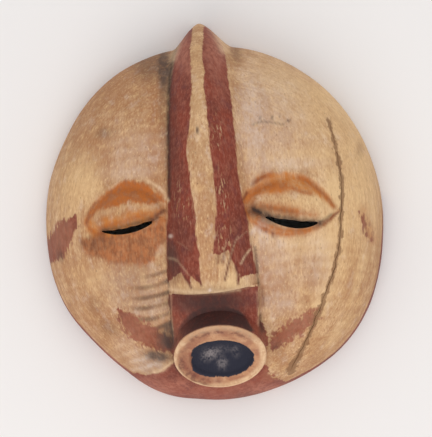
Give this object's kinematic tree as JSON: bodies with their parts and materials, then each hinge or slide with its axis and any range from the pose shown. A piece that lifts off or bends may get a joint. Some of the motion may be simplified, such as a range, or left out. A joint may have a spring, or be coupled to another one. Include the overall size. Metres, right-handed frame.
{
  "type": "carved wooden face mask",
  "caption": "Round carved and painted wooden face mask: a crest that runs down into the nose, slit eyes under heavy lids, a tube-shaped mouth; hollow behind.",
  "frame": {"origin": "centre of the bounding box in the plane of the back rim, on which the mask lies", "axes": "+Z out of the face, +Y towards the top of the head, +X to the right of someone who faces the mask"},
  "size_m": [0.322, 0.3586, 0.1538],
  "materials": {
    "painted_wood": "worn matte paint on bare wood"
  },
  "bodies": {
    "root": {"mask": "painted_wood"}
  },
  "joints": []
}
